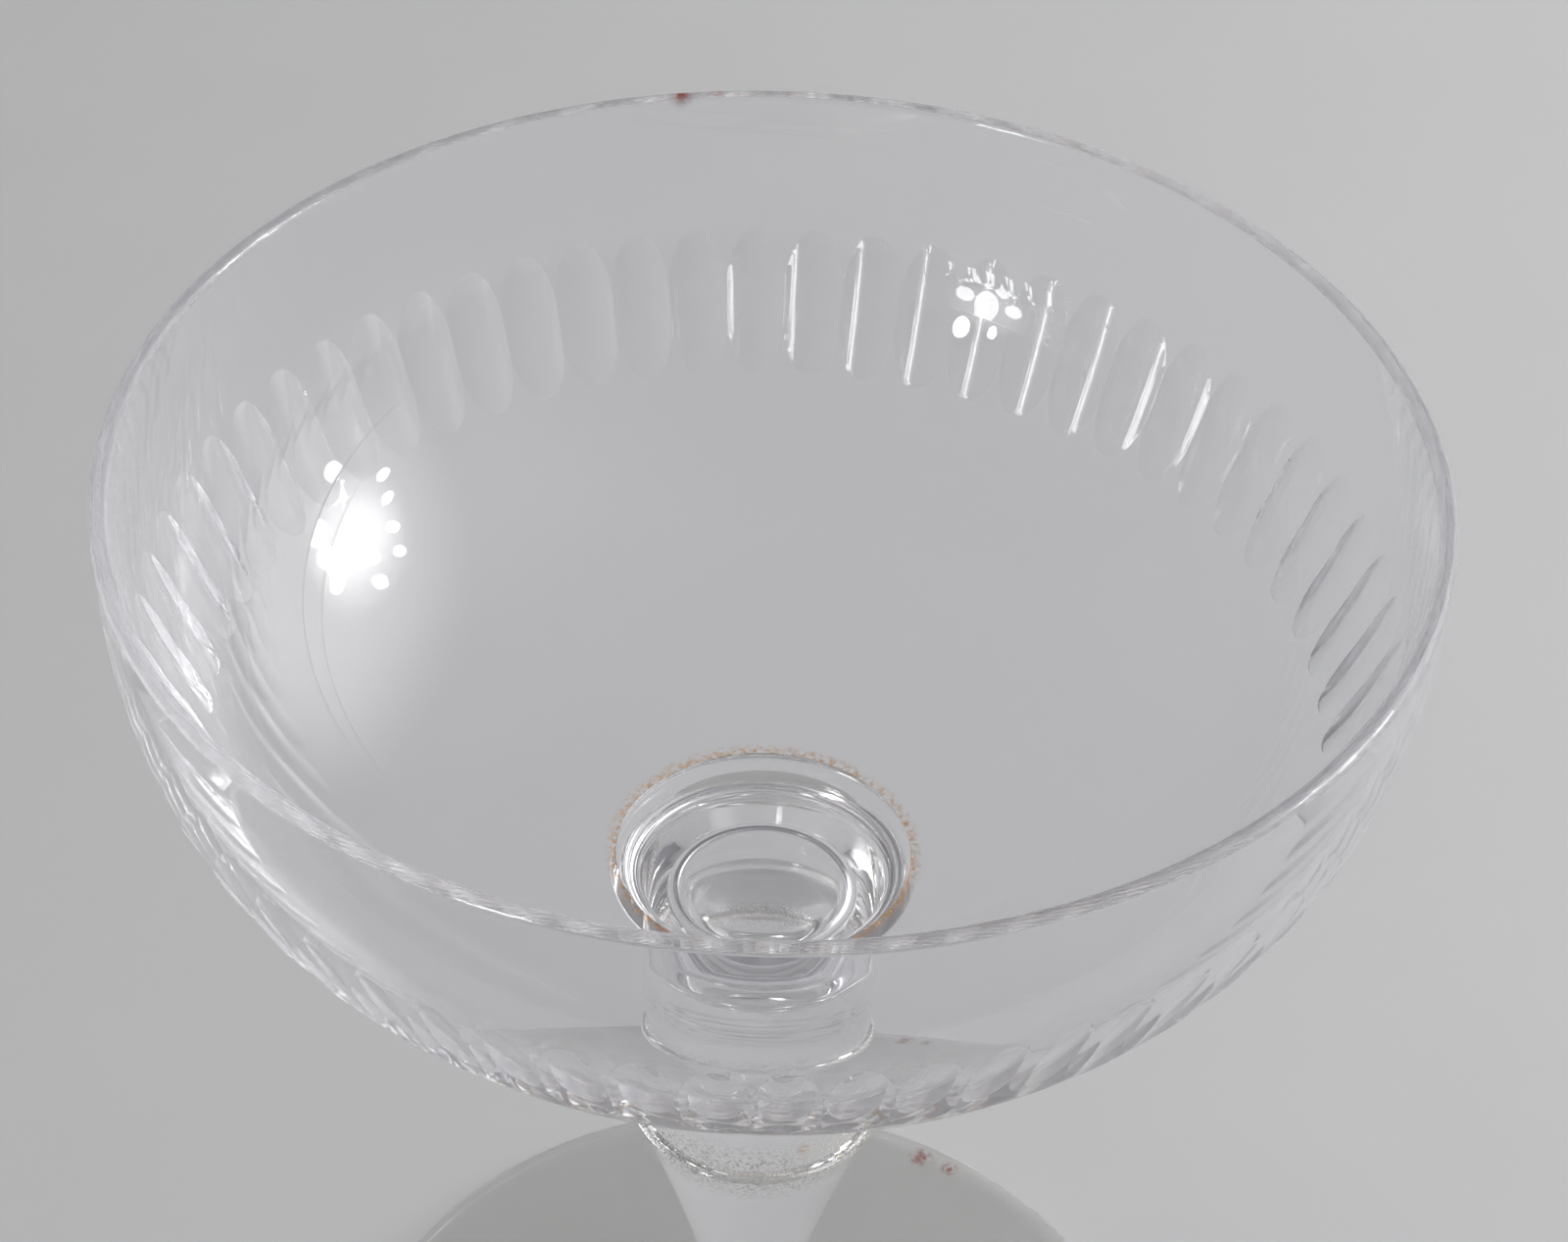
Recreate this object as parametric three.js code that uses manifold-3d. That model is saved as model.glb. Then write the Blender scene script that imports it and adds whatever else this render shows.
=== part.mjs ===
// A stemmed champagne coupe in clear lead crystal, with a ring of olive cuts round its bowl.
// Millimetres, +Z up. The origin is the centre of the foot, on the table.
// Five gathers of glass are worked one upon another while hot. From the table up they are
// the foot, the shank, the knop with its trapped bubble, the collar and the bowl.
import * as THREE from 'three';
import { mergeVertices } from 'three/addons/utils/BufferGeometryUtils.js';
import Module from 'manifold-3d';

// Foot: a wide disc that rises in a flare to a small boss, with a shallow hollow underneath
const footDiameter = 70.6;
const footEdgeThickness = 2.2;
const footHeight = 11;
const footBossDiameter = 10.2;
const footFullness = 3;
const footRestWidth = 6;
const footHollowDepth = 1;

// Shank: an inverted cone with a rounded shoulder, drawn in to a waist and out to the foot
const shankHeight = 31.3;
const shankTopDiameter = 20.6;
const shankWaistDiameter = 8.6;
const shankShoulderRound = 0.7;
const shankTaperDepth = 19.5;
const shankFullness = 1.1;

// Knop: a short upright cylinder that closes round a bubble of air
const knopDiameter = 19.4;
const knopHeight = 18.7;
const knopFootRound = 0.5;
const bubbleDiameter = 15.6;
const bubbleMouthDiameter = 12;
const bubbleShoulderDepth = 2;
const bubbleWallDepth = 3.8;
const bubbleDepth = 7.6;

// Collar: a thin disc with a crisp edge, with a hollow flare under it down to the knop
const collarTopDiameter = 23.2;
const collarEdgeDiameter = 24.2;
const collarEdgeDrop = 1.8;
const collarHeight = 6.5;

// Bowl: a full, low cup with a fire-polished rim and a thicker bottom
const bowlDiameter = 98.1;
const bowlDepth = 39.3;
const bowlWall = 1.3;
const bowlBottom = 2.5;
const bowlFullness = 2.4;

// Olive cuts: a ring of upright hollows, side by side, ground by a wheel with a round edge,
// which follows the wall in two strokes that meet at the middle of each cut
const oliveCount = 60;
const oliveStartShare = 0.43;
const oliveEntryDrop = 13.9;
const oliveMiddleDrop = 18.4;
const oliveExitDrop = 21.8;
const oliveDepth = 0.22;
const wheelEdgeRadius = 10.9;

// Facets round the axis and along the curves
const bowlFacets = 120;
const footFacets = 72;
const stemFacets = 48;
const outsideSteps = 12;
const insideSteps = 8;
const flareSteps = 8;
const shortSteps = 4;
const roundSteps = 3;
const lipSteps = 4;
const wheelFacets = 48;

const footRadius = footDiameter / 2;
const knopRadius = knopDiameter / 2;
const bowlRadius = bowlDiameter / 2;
const seatRadius = collarTopDiameter / 2;

// Levels of the seats, one gather upon the next
const shankLevel = footHeight;
const knopLevel = shankLevel + shankHeight;
const collarLevel = knopLevel + knopHeight;
const bowlLevel = collarLevel + collarHeight;

const quarterTurn = Math.PI / 2;
const fullCircle = 360;
const wasm = await Module();
wasm.setup();

// Points on a quarter of a superellipse about a centre, where sweep 0 lies out at the full
// width and sweep 1 at the full height. A negative width or height turns the quarter over.
function quarter(centreRadius, centreLevel, width, height, fullness, from, to, steps) {
  const points = [];
  for (let step = 0; step <= steps; step += 1) {
    const angle = quarterTurn * (from + (to - from) * (step / steps));
    const across = Math.max(0, Math.cos(angle)) ** (2 / fullness);
    const along = Math.max(0, Math.sin(angle)) ** (2 / fullness);
    points.push(new THREE.Vector2(centreRadius + width * across, centreLevel + height * along));
  }
  return points;
}

function circle(centreRadius, centreLevel, radius, from, to, steps) {
  const points = [];
  for (let step = 0; step <= steps; step += 1) {
    const angle = quarterTurn * (from + (to - from) * (step / steps));
    const radiusHere = centreRadius + radius * Math.cos(angle);
    points.push(new THREE.Vector2(radiusHere, centreLevel + radius * Math.sin(angle)));
  }
  return points;
}

const point = (radius, level) => new THREE.Vector2(radius, level);

// Revolves an outline, which runs from the axis out and up and back to the axis, about +Z
function revolve(outline, facets) {
  const geometry = new THREE.LatheGeometry(outline, facets);
  geometry.rotateX(quarterTurn);
  return closed(geometry);
}

// Joins shared corners and leaves out the faces that have shrunk to a line on the axis
function closed(source) {
  source.deleteAttribute('normal');
  source.deleteAttribute('uv');
  const merged = mergeVertices(source);
  const corners = merged.index.array;
  const kept = [];
  for (let first = 0; first < corners.length; first += 3) {
    const [a, b, c] = corners.slice(first, first + 3);
    if (a !== b && b !== c && c !== a) kept.push(a, b, c);
  }
  merged.setIndex(kept);
  return merged;
}

function toSolid(geometry) {
  const mesh = new wasm.Mesh({
    numProp: 3,
    vertProperties: new Float32Array(geometry.attributes.position.array),
    triVerts: new Uint32Array(geometry.index.array),
  });
  return new wasm.Manifold(mesh);
}

function toGeometry(solid) {
  const mesh = solid.getMesh();
  const geometry = new THREE.BufferGeometry();
  geometry.setAttribute('position', new THREE.BufferAttribute(mesh.vertProperties, 3));
  geometry.setIndex(new THREE.BufferAttribute(mesh.triVerts, 1));
  geometry.computeVertexNormals();
  return geometry;
}

function footOutline() {
  const edgeRound = footEdgeThickness / 2;
  const rimRadius = footRadius - edgeRound;
  const restInside = rimRadius - footRestWidth;
  const bossRadius = footBossDiameter / 2;
  const flareWidth = bossRadius - rimRadius;
  const flareHeight = footEdgeThickness - footHeight;
  return [
    point(0, footHollowDepth),
    ...quarter(0, 0, restInside, footHollowDepth, 2, 1, 0, shortSteps).slice(1),
    ...circle(rimRadius, edgeRound, edgeRound, -1, 1, roundSteps * 2),
    ...quarter(rimRadius, footHeight, flareWidth, flareHeight, footFullness, 1, 0, flareSteps).slice(1),
    point(0, footHeight),
  ];
}

function shankOutline() {
  const bossRadius = footBossDiameter / 2;
  const waistRadius = shankWaistDiameter / 2;
  const topRadius = shankTopDiameter / 2;
  const shoulderLevel = knopLevel - shankShoulderRound;
  const waistLevel = shoulderLevel - shankTaperDepth;
  const ankleDrop = shankLevel - waistLevel;
  const ankleWidth = waistRadius - bossRadius;
  const taperWidth = waistRadius - topRadius;
  return [
    point(0, shankLevel),
    ...quarter(bossRadius, waistLevel, ankleWidth, ankleDrop, shankFullness, 1, 0, shortSteps),
    ...quarter(topRadius, waistLevel, taperWidth, shankTaperDepth, shankFullness, 0, 1, flareSteps).slice(1),
    ...circle(topRadius - shankShoulderRound, shoulderLevel, shankShoulderRound, 0, 1, roundSteps).slice(1),
    point(0, knopLevel),
  ];
}

function knopOutline() {
  const bubbleRadius = bubbleDiameter / 2;
  const mouthRadius = bubbleMouthDiameter / 2;
  const shoulderLevel = collarLevel - bubbleShoulderDepth;
  const wallLevel = collarLevel - bubbleWallDepth;
  const bowlOfBubble = bubbleDepth - bubbleWallDepth;
  const shoulderWidth = bubbleRadius - mouthRadius;
  return [
    point(0, knopLevel),
    ...circle(knopRadius - knopFootRound, knopLevel + knopFootRound, knopFootRound, -1, 0, roundSteps),
    point(knopRadius, collarLevel),
    ...quarter(mouthRadius, shoulderLevel, shoulderWidth, bubbleShoulderDepth, 2, 1, 0, roundSteps),
    ...quarter(0, wallLevel, bubbleRadius, -bowlOfBubble, 2, 0, 1, shortSteps),
  ];
}

function collarOutline() {
  const edgeRadius = collarEdgeDiameter / 2;
  const edgeLevel = bowlLevel - collarEdgeDrop;
  const flareWidth = knopRadius - edgeRadius;
  const flareHeight = edgeLevel - collarLevel;
  return [
    point(0, collarLevel),
    ...quarter(edgeRadius, collarLevel, flareWidth, flareHeight, 2, 0, 1, shortSteps),
    point(seatRadius, bowlLevel),
    point(0, bowlLevel),
  ];
}

// Sweep along the bowl's outer curve at which it has this share of its full radius
const sweepAtRadiusShare = (share) => Math.acos(share ** (bowlFullness / 2)) / quarterTurn;
const seatSweep = sweepAtRadiusShare(seatRadius / bowlRadius);
const seatDrop = bowlDepth * Math.sin(seatSweep * quarterTurn) ** (2 / bowlFullness);
const rimLevel = bowlLevel + seatDrop;

function bowlOutline() {
  const lipRound = bowlWall / 2;
  const insideRadius = bowlRadius - bowlWall;
  const insideDepth = bowlDepth - bowlBottom;
  const lipRadius = bowlRadius - lipRound;
  return [
    point(0, bowlLevel),
    ...quarter(0, rimLevel, bowlRadius, -bowlDepth, bowlFullness, seatSweep, 0, outsideSteps),
    ...circle(lipRadius, rimLevel, lipRound, 0, 2, lipSteps).slice(1),
    ...quarter(0, rimLevel, insideRadius, -insideDepth, bowlFullness, 0, 1, insideSteps).slice(1),
  ];
}

// A point on the bowl's outer curve, this far under the rim
function bowlSurfaceAt(drop) {
  const across = (1 - (drop / bowlDepth) ** bowlFullness) ** (1 / bowlFullness);
  return point(bowlRadius * across, rimLevel - drop);
}

// Centre of the wheel's round edge when it sinks into the wall, this far under the rim
function wheelPlace(drop) {
  const surface = bowlSurfaceAt(drop);
  const across = (surface.x / bowlRadius) ** (bowlFullness - 1) / bowlRadius;
  const down = (drop / bowlDepth) ** (bowlFullness - 1) / bowlDepth;
  const outward = point(across, -down).normalize();
  return surface.addScaledVector(outward, wheelEdgeRadius - oliveDepth);
}

// One stroke of the wheel: its round edge runs straight from one place to another
function wheelStroke(fromDrop, toDrop) {
  const upper = wheelPlace(fromDrop);
  const lower = wheelPlace(toDrop);
  const stroke = upper.clone().sub(lower);
  const middle = upper.clone().add(lower).multiplyScalar(1 / 2);
  const edge = new THREE.CapsuleGeometry(wheelEdgeRadius, stroke.length(), wheelFacets / 4, wheelFacets);
  edge.rotateX(quarterTurn);
  edge.rotateY(Math.atan2(stroke.x, stroke.y));
  edge.translate(middle.x, 0, middle.y);
  return toSolid(closed(edge));
}

function cutBowl() {
  const entry = wheelStroke(oliveEntryDrop, oliveMiddleDrop);
  const olive = entry.add(wheelStroke(oliveMiddleDrop, oliveExitDrop));
  let bowl = toSolid(revolve(bowlOutline(), bowlFacets));
  for (let cut = 0; cut < oliveCount; cut += 1) {
    const turn = (fullCircle * (cut + oliveStartShare)) / oliveCount;
    bowl = bowl.subtract(olive.rotate([0, 0, turn]));
  }
  return toGeometry(bowl);
}

function crystal(colour) {
  return new THREE.MeshStandardMaterial({ color: colour, roughness: 0.04, metalness: 0 });
}

function piece(name, geometry, colour) {
  const mesh = new THREE.Mesh(geometry, crystal(colour));
  mesh.name = name;
  return mesh;
}

const coupe = new THREE.Group();
coupe.add(piece('foot', revolve(footOutline(), footFacets), '#d9dcdc'));
coupe.add(piece('shank', revolve(shankOutline(), stemFacets), '#e4e6e8'));
coupe.add(piece('knop', revolve(knopOutline(), stemFacets), '#e0e3e4'));
coupe.add(piece('collar', revolve(collarOutline(), stemFacets), '#dee1e3'));
coupe.add(piece('bowl', cutBowl(), '#e2e5e8'));

export default coupe;
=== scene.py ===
# %% [markdown]
# # A champagne coupe in cut crystal
# A coupe is a low, wide glass for sparkling wine. This one is made by hand from five
# gathers of molten lead crystal, each set hot on the one before: the foot, the shank,
# the knop with a bubble of air in it, the collar and the bowl. A cutter then grinds a
# ring of sixty olive-shaped hollows round the bowl and polishes them.
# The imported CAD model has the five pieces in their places. Glass shows every facet,
# because each ray bends where it meets the surface, so this lesson makes each piece
# again with a finer surface, in the same place, and gives it its finish.

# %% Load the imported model
import math
import random

import bmesh
import bpy
from mathutils import Matrix, Vector


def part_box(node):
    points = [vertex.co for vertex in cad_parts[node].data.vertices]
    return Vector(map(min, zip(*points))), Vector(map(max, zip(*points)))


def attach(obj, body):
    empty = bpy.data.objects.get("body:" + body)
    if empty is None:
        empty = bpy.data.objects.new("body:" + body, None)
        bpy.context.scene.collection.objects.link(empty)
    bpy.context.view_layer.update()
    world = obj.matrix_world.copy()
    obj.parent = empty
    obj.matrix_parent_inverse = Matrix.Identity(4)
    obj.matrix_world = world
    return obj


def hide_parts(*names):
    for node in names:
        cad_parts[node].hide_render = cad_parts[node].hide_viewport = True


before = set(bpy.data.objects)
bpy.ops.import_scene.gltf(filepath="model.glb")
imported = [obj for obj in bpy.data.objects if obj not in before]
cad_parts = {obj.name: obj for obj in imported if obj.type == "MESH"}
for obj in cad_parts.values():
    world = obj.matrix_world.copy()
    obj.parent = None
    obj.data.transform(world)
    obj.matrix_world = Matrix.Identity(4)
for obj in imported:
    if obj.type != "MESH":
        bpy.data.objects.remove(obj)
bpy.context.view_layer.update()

MM = 0.001
QUARTER_TURN = math.pi / 2
FULL_TURN = 2 * math.pi

# %% [markdown]
# ## The levels
# Everything is set out upwards from the table. Each gather ends in a flat seat, and the
# next one starts there. The CAD model knows these levels, so they are read from it
# instead of being written down a second time.

# %% Read the levels and radii from the CAD pieces
def reach(node):
    """Lowest level, highest level and radius of a CAD node."""
    low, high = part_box(node)
    return low.z, high.z, max(high.x, high.y)


foot_base, foot_top, foot_radius = reach("foot")
shank_base, shank_top, shank_radius = reach("shank")
knop_base, knop_top, knop_radius = reach("knop")
collar_base, collar_top, collar_radius = reach("collar")
bowl_base, bowl_top, bowl_radius = reach("bowl")
tops = (foot_top, shank_top, knop_top, collar_top, bowl_top)
radii = (foot_radius, shank_radius, knop_radius, collar_radius, bowl_radius)
print("tops, mm:", [round(top / MM, 2) for top in tops])
print("radii, mm:", [round(radius / MM, 2) for radius in radii])

# %% [markdown]
# ## The camera
# The photograph looks down on the glass at about 39 degrees from a third of a metre
# away, with a long lens. The camera is placed first, because the likeness of every later
# piece is judged through it. It aims at the middle of the rim and is then turned a
# little, because the glass stands slightly off the middle of the frame.

# %% Place the camera
CAMERA_LENS_MM = 99
CAMERA_SENSOR_MM = 36
CAMERA_NEAREST = 10 * MM
CAMERA_DISTANCE = 0.31097
CAMERA_ELEVATION = math.radians(38.63)
CAMERA_PAN = math.radians(0.18)
CAMERA_TILT = math.radians(-1.95)
CAMERA_ROLL = math.radians(1.90)
RIM_CENTRE = Vector((0, 0, 0.10633))


def place_camera():
    data = bpy.data.cameras.new("camera")
    data.lens = CAMERA_LENS_MM
    data.sensor_width = CAMERA_SENSOR_MM
    data.clip_start = CAMERA_NEAREST
    camera = bpy.data.objects.new("camera", data)
    bpy.context.scene.collection.objects.link(camera)
    back = Vector((0, -math.cos(CAMERA_ELEVATION), math.sin(CAMERA_ELEVATION)))
    right = Vector((1, 0, 0))
    up = back.cross(right)
    look = (-back + math.tan(CAMERA_PAN) * right + math.tan(CAMERA_TILT) * up).normalized()
    level = look.cross(Vector((0, 0, 1))).normalized()
    upright = level.cross(look)
    side = math.cos(CAMERA_ROLL) * level + math.sin(CAMERA_ROLL) * upright
    top = math.cos(CAMERA_ROLL) * upright - math.sin(CAMERA_ROLL) * level
    turn = Matrix((side, top, -look)).transposed()
    camera.matrix_world = Matrix.LocRotScale(RIM_CENTRE + back * CAMERA_DISTANCE, turn, None)
    bpy.context.scene.camera = camera
    return camera


camera = place_camera()
print("camera at, mm:", [round(v / MM) for v in camera.matrix_world.translation])

# %% [markdown]
# ## Turning a piece
# Every gather is round, so each one starts as an outline: a few corners and curves on
# one side of the axis. Blender's Screw modifier or a spin in Edit Mode would turn it
# into a solid. Here bmesh.ops.spin does it, with use_merge, so that the last step meets
# the first and no seam is left. The drawn-out curves of hot glass are close to quarters
# of a superellipse, which is an ellipse with a fullness: 2 is a plain ellipse, and more
# is squarer.

# %% Helpers for outlines
APART = MM / 10000
WELD = MM / 1000


def sweep(centre, width, height, fullness, start, end, steps):
    """Points on a quarter of a superellipse, from share start to share end of its turn."""
    points = []
    for step in range(steps + 1):
        angle = QUARTER_TURN * (start + (end - start) * step / steps)
        across = max(0.0, math.cos(angle)) ** (2 / fullness)
        along = max(0.0, math.sin(angle)) ** (2 / fullness)
        points.append((centre[0] + width * across, centre[1] + height * along))
    return points


def round_corner(centre, radius, start, end, steps):
    """Points on a circle, from start to end, both in quarter turns."""
    points = []
    for step in range(steps + 1):
        angle = QUARTER_TURN * (start + (end - start) * step / steps)
        points.append((centre[0] + radius * math.cos(angle), centre[1] + radius * math.sin(angle)))
    return points


def draw_outline(points):
    """A new bmesh that holds the outline as corners joined by edges, in the XZ plane."""
    mesh = bmesh.new()
    corners = []
    for radius, level in points:
        spot = Vector((max(0.0, radius), 0, level))
        if not corners or (corners[-1].co - spot).length > APART:
            corners.append(mesh.verts.new(spot))
    for first, second in zip(corners, corners[1:]):
        mesh.edges.new((first, second))
    return mesh


def turn_on_axis(points, facets):
    """Spins an outline, which starts and ends on the axis, into a closed solid."""
    mesh = draw_outline(points)
    bmesh.ops.spin(
        mesh, geom=mesh.verts[:] + mesh.edges[:], cent=(0, 0, 0), axis=(0, 0, 1),
        angle=FULL_TURN, steps=facets, use_merge=True, use_duplicate=False)
    bmesh.ops.remove_doubles(mesh, verts=mesh.verts[:], dist=WELD)
    bmesh.ops.recalc_face_normals(mesh, faces=mesh.faces[:])
    return mesh


# %% [markdown]
# ## Seats that can't be seen
# Where one hot gather is set on another the two become one body of glass, and no light
# turns back at the seat. Each piece is still its own closed mesh, so its seats get a
# finish of their own that lets light straight through. The next helpers find those
# faces, mark the edges that stay crisp, smooth the rest, and make the finished object.

# %% Helpers for finishing a mesh
SEAT = 1
LYING_FLAT = 0.999


def mark_seat(mesh, level, inner=0.0, outer=1.0):
    """Gives the flat faces at a level, between two radii, the seat's finish."""
    for face in mesh.faces:
        middle = face.calc_center_median()
        flat = abs(middle.z - level) < WELD and abs(face.normal.z) > LYING_FLAT
        if flat and inner <= math.hypot(middle.x, middle.y) <= outer:
            face.material_index = SEAT


def smooth_but_crisp(mesh, crisp_angle):
    """Smooth shading, apart from edges where the surface turns by more than an angle."""
    for face in mesh.faces:
        face.smooth = True
    for edge in mesh.edges:
        turned = edge.is_manifold and edge.calc_face_angle(0) > crisp_angle
        borders_seat = len({face.material_index == SEAT for face in edge.link_faces}) > 1
        edge.smooth = not (turned or borders_seat)


def report(name, mesh):
    """Prints the mesh's size in triangles, its open edges and its volume."""
    open_edges = sum(1 for edge in mesh.edges if not edge.is_manifold)
    triangles = sum(len(face.verts) - 2 for face in mesh.faces)
    print(f"{name}: {triangles} triangles, {open_edges} open edges, "
          f"{mesh.calc_volume() * 1e6:.2f} ml of glass")


def finish_piece(name, mesh, node, finishes):
    """Makes the object, rides it on the one body and lets it stand for its CAD node."""
    report(name, mesh)
    data = bpy.data.meshes.new(name)
    mesh.to_mesh(data)
    mesh.free()
    piece = bpy.data.objects.new(name, data)
    bpy.context.scene.collection.objects.link(piece)
    for finish in finishes:
        data.materials.append(finish)
    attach(piece, "root")
    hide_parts(node)
    return piece


# %% [markdown]
# ## Helpers for materials
# Blender works in linear light, while a colour is written as an sRGB hex value, so one
# function turns the one into the other. A second adds a node, sets its values and links
# its inputs, which keeps each material below a short list.

# %% Helpers for nodes and colours
def linear(hex_colour):
    """An sRGB hex colour as linear red, green, blue and alpha."""
    parts = [int(hex_colour[i:i + 2], 16) / 255 for i in (1, 3, 5)]
    parts = [p / 12.92 if p <= 0.04045 else ((p + 0.055) / 1.055) ** 2.4 for p in parts]
    return (*parts, 1.0)


def new_material(name):
    """A material whose nodes are only its output."""
    material = bpy.data.materials.new(name)
    material.use_nodes = True
    tree = material.node_tree
    for node in list(tree.nodes):
        tree.nodes.remove(node)
    return material, tree, tree.nodes.new("ShaderNodeOutputMaterial")


def add_node(tree, kind, settings=None, values=None, links=None):
    """Adds a node; settings are its own options, values its sockets' and links its inputs."""
    node = tree.nodes.new(kind)
    for key, value in (settings or {}).items():
        setattr(node, key, value)
    for key, value in (values or {}).items():
        node.inputs[key].default_value = value
    for key, socket in (links or {}).items():
        tree.links.new(socket, node.inputs[key])
    return node


# %% [markdown]
# ## Lead crystal and the film on it
# Crystal has about a quarter of lead oxide, which lifts its index of refraction from
# 1.52 to about 1.545, so it bends light more than window glass and shines more. Where
# the flame was the last thing to touch it, the surface is perfectly smooth but not quite
# true: it carries a slow ripple, a centimetre or two long, which makes the reflections
# waver. A glass that has stood on a shelf also has a film of dust and dried rinse water.
# Seen straight on, the film hardly shows. Along a wall the eye looks through more of it,
# and where a lamp shines on it, it goes milky. So the film is a pale matt layer whose
# share grows with Layer Weight's Facing, broken up by soft patches. The dust only lies on
# the glass and hardly touches it, so light that is turned back inside the wall many times
# doesn't meet it: the Light Path's Ray Depth leaves the film out there.

# %% Helpers for the crystal
CRYSTAL_IOR = 1.545
FILM_TONE = "#e6e5eb"
FILM_STRAIGHT_ON = 0.006
FILM_ALONG_WALL = 0.03
FILM_PATCH = 9 * MM
DEEPEST_FILM = 4.5


def measure(tree, operation, links, values=None):
    """A Math node's result."""
    node = add_node(
        tree, "ShaderNodeMath", settings={"operation": operation}, values=values, links=links)
    return node.outputs["Value"]


def remap(tree, value, lowest, highest, at_lowest, at_highest):
    """A value's range turned into another, eased at both ends."""
    node = add_node(
        tree, "ShaderNodeMapRange", settings={"interpolation_type": "SMOOTHSTEP"},
        values={"From Min": lowest, "From Max": highest, "To Min": at_lowest, "To Max": at_highest},
        links={"Value": value})
    return node.outputs["Result"]


def speckle(tree, place, lengths, detail=2.0):
    """Noise whose lumps have these lengths in metres along X, Y and Z."""
    scaled = add_node(
        tree, "ShaderNodeVectorMath", settings={"operation": "DIVIDE"},
        values={1: lengths}, links={0: place})
    noise = add_node(
        tree, "ShaderNodeTexNoise", values={"Scale": 1.0, "Detail": detail, "Roughness": 0.5},
        links={"Vector": scaled.outputs["Vector"]})
    return noise.outputs["Fac"]


def first_meetings(tree):
    """1 for the first few surfaces that a ray meets, 0 for light piped along inside the wall."""
    depth = add_node(tree, "ShaderNodeLightPath").outputs["Ray Depth"]
    return measure(tree, "LESS_THAN", {0: depth}, {1: DEEPEST_FILM})


def film_share(tree, place, amount):
    """The part of the light that the film catches, from straight on to along the wall."""
    facing = add_node(tree, "ShaderNodeLayerWeight", values={"Blend": 0.5}).outputs["Facing"]
    share = remap(tree, facing, 0.2, 0.85, FILM_STRAIGHT_ON * amount, FILM_ALONG_WALL * amount)
    patches = remap(tree, speckle(tree, place, (FILM_PATCH,) * 3), 0.25, 0.75, 0.6, 1.3)
    patchy = measure(tree, "MULTIPLY", {0: share, 1: patches})
    return measure(tree, "MULTIPLY", {0: patchy, 1: first_meetings(tree)})


def lay_on(tree, surface, tone, share):
    """Lays a matt tone over a surface where the share says so."""
    matt = add_node(tree, "ShaderNodeBsdfDiffuse", values={"Color": linear(tone), "Roughness": 0.5})
    mixed = add_node(
        tree, "ShaderNodeMixShader", links={0: share, 1: surface, 2: matt.outputs["BSDF"]})
    return mixed.outputs["Shader"]


def make_crystal(name, ripple_lengths, ripple_height, film, stains=(), tone="#fdfdfe"):
    """Crystal with a ripple, a film, and stains, each a tone and a function for its share."""
    material, tree, output = new_material(name)
    place = add_node(tree, "ShaderNodeTexCoord").outputs["Object"]
    bump = add_node(
        tree, "ShaderNodeBump", values={"Strength": 1.0, "Distance": ripple_height},
        links={"Height": speckle(tree, place, ripple_lengths, 0.5)})
    glass = add_node(
        tree, "ShaderNodeBsdfPrincipled",
        values={"Base Color": linear(tone), "IOR": CRYSTAL_IOR,
                "Transmission Weight": 1.0, "Roughness": 0.0},
        links={"Normal": bump.outputs["Normal"]})
    surface = glass.outputs["BSDF"]
    if film:
        surface = lay_on(tree, surface, FILM_TONE, film_share(tree, place, film))
    for stain_tone, share_of in stains:
        surface = lay_on(tree, surface, stain_tone, share_of(tree, place))
    tree.links.new(surface, output.inputs["Surface"])
    return material


# %% [markdown]
# ## Stains
# Wine and dust stay where a cloth doesn't reach: in the crevice between the bowl and the
# collar, and on the step at the knop's foot. There are also a few small red-brown marks on the
# rim and the foot. Each stain is a share worked out from the distance to a ring or a
# spot, broken up by noise, so it has a ragged edge. To the eye they are warm specks in a
# colourless glass.

# %% Helpers for stains
CREVICE_RADIUS = 11.7 * MM
CREVICE_TONE = "#bb8f56"
GRIME_TONE = "#c4beb2"
MARK_TONE = "#7c3a34"


def ring_share(radius, level, reach, lump, least, most):
    """A share that is full on a ring round the axis and fades out at its reach."""
    def share_of(tree, place):
        flat = add_node(
            tree, "ShaderNodeVectorMath", settings={"operation": "MULTIPLY"}, values={1: (1, 1, 0)},
            links={0: place}).outputs["Vector"]
        out = add_node(
            tree, "ShaderNodeVectorMath", settings={"operation": "LENGTH"},
            links={0: flat}).outputs["Value"]
        height = add_node(tree, "ShaderNodeSeparateXYZ", links={"Vector": place}).outputs["Z"]
        across = measure(tree, "SUBTRACT", {0: out}, {1: radius})
        above = measure(tree, "SUBTRACT", {0: height}, {1: level})
        across_squared = measure(tree, "MULTIPLY", {0: across, 1: across})
        above_squared = measure(tree, "MULTIPLY", {0: above, 1: above})
        squares = measure(tree, "ADD", {0: across_squared, 1: above_squared})
        near = remap(tree, measure(tree, "SQRT", {0: squares}), 0.0, reach, 1.0, 0.0)
        ragged = remap(tree, speckle(tree, place, (lump,) * 3, 4.0), least, most, 0.0, 1.0)
        return measure(tree, "MULTIPLY", {0: near, 1: ragged})
    return share_of


def spot_share(spot, reach, strength):
    """A share that is strong in a spot and fades out raggedly at its reach."""
    def share_of(tree, place):
        away = add_node(
            tree, "ShaderNodeVectorMath", settings={"operation": "DISTANCE"}, values={1: spot},
            links={0: place}).outputs["Value"]
        near = remap(tree, away, 0.0, reach, strength, 0.0)
        ragged = remap(tree, speckle(tree, place, (reach / 2,) * 3, 3.0), 0.35, 0.6, 0.0, 1.0)
        return measure(tree, "MULTIPLY", {0: near, 1: ragged})
    return share_of


def haze_share(lump, least, most):
    """A share between these two all over, in soft patches."""
    def share_of(tree, place):
        patches = remap(tree, speckle(tree, place, (lump,) * 3), 0.3, 0.7, least, most)
        return measure(tree, "MULTIPLY", {0: patches, 1: first_meetings(tree)})
    return share_of
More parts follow.
